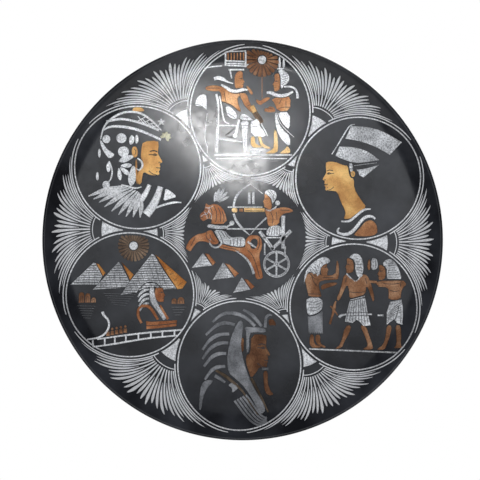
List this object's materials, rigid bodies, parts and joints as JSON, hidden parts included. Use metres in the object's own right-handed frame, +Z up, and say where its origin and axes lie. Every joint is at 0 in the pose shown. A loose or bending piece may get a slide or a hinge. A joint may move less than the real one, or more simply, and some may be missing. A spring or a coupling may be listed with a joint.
{
  "type": "decorative wall plate",
  "caption": "Round shallow metal wall plate with a black face, raised silver and copper Egyptian scenes in round medallions, leaf fans between them, and a hanging ring on the back.",
  "frame": {"origin": "centre of the flat disc on the plate's back, which rests against the wall", "axes": "+Y out of the plate's back into the wall, +Z up as the plate hangs, +X to the right as seen from the front; the decorated face looks to -Y"},
  "size_m": [0.4, 0.016, 0.4],
  "materials": {
    "black_ground": "blackened copper sheet with a semi-gloss lacquered face and slight hammer waves",
    "silver_inlay": "bright hand-engraved silver-coloured metal, satin",
    "copper_inlay": "engraved copper, satin",
    "steel_wire": "drawn wire",
    "strap_copper": "tarnished copper strip"
  },
  "bodies": {
    "plate": {"plate": "black_ground", "edge_wire": "steel_wire", "hanger_strap": "strap_copper", "throne_ring": "silver_inlay", "feather_ring": "silver_inlay", "pyramid_ring": "silver_inlay", "nemes_ring": "silver_inlay", "procession_ring": "silver_inlay", "crown_ring": "silver_inlay", "outer_fan_1": "silver_inlay", "inner_fan_1": "silver_inlay", "outer_calyx_1": "silver_inlay", "inner_calyx_1": "silver_inlay", "outer_fan_2": "silver_inlay", "inner_fan_2": "silver_inlay", "outer_calyx_2": "silver_inlay", "inner_calyx_2": "silver_inlay", "outer_fan_3": "silver_inlay", "inner_fan_3": "silver_inlay", "outer_calyx_3": "silver_inlay", "inner_calyx_3": "silver_inlay", "outer_fan_4": "silver_inlay", "inner_fan_4": "silver_inlay", "outer_calyx_4": "silver_inlay", "inner_calyx_4": "silver_inlay", "outer_fan_5": "silver_inlay", "inner_fan_5": "silver_inlay", "outer_calyx_5": "silver_inlay", "inner_calyx_5": "silver_inlay", "outer_fan_6": "silver_inlay", "inner_fan_6": "silver_inlay", "outer_calyx_6": "silver_inlay", "inner_calyx_6": "silver_inlay", "throne_chair": "silver_inlay", "throne_kilt": "silver_inlay", "throne_gown": "silver_inlay", "feather_headdress": "silver_inlay", "feather_collar": "silver_inlay", "crown_cap": "silver_inlay", "pyramid_row": "silver_inlay", "pyramid_sphinx": "silver_inlay", "pyramid_railing": "silver_inlay", "nemes_cloth": "silver_inlay", "nemes_collar": "silver_inlay", "chariot_car": "silver_inlay", "throne_sun": "copper_inlay", "throne_king": "copper_inlay", "throne_queen": "copper_inlay", "feather_face": "copper_inlay", "crown_bust": "copper_inlay", "crown_shoulder": "copper_inlay", "pyramid_sun": "copper_inlay", "pyramid_base": "copper_inlay", "nemes_face": "copper_inlay", "procession_woman": "copper_inlay", "procession_king": "copper_inlay", "procession_man": "copper_inlay", "chariot_horse": "copper_inlay", "chariot_archer": "copper_inlay"},
    "hanger_ring": {"hanger_ring": "steel_wire"}
  },
  "joints": [
    {"name": "ring_swing", "type": "hinge", "parent": "plate", "child": "hanger_ring", "pos_m": [0, -0.00288, 0.16], "axis": [1, 0, 0], "range_deg": [0, 185]}
  ]
}
